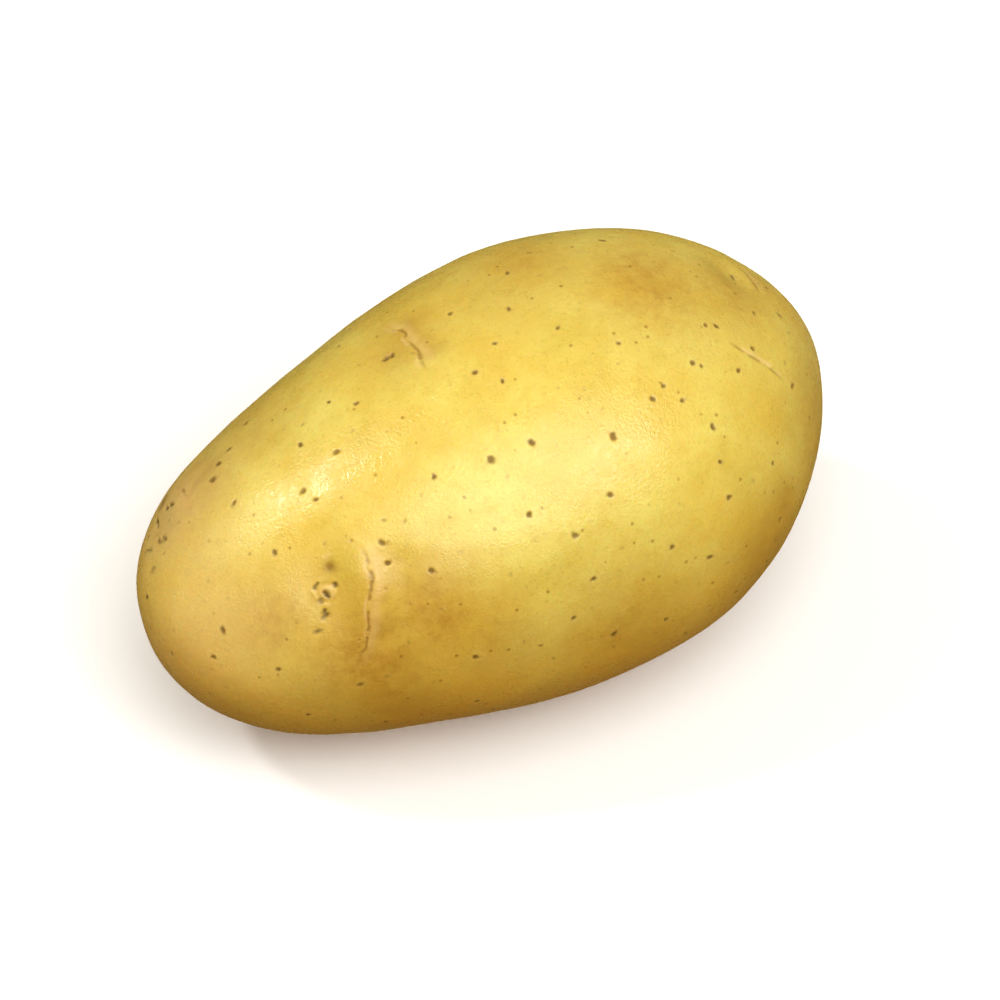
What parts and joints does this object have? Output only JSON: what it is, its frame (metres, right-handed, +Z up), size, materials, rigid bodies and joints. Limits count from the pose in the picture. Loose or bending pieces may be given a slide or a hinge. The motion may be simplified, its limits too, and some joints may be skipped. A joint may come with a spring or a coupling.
{
  "type": "potato",
  "caption": "Whole waxy yellow potato, an egg-like oval tuber with shallow eyes, lying on a small flat spot.",
  "frame": {"origin": "middle of the potato's bounding box, at the height of the flat spot it rests on", "axes": "+X along the potato towards its heel (the stolon end), +Z up from the flat spot, -Y towards the side with the large eye"},
  "size_m": [0.0916, 0.0578, 0.0524],
  "materials": {
    "potato_skin": "satin"
  },
  "bodies": {
    "root": {"potato": "potato_skin"}
  },
  "joints": []
}
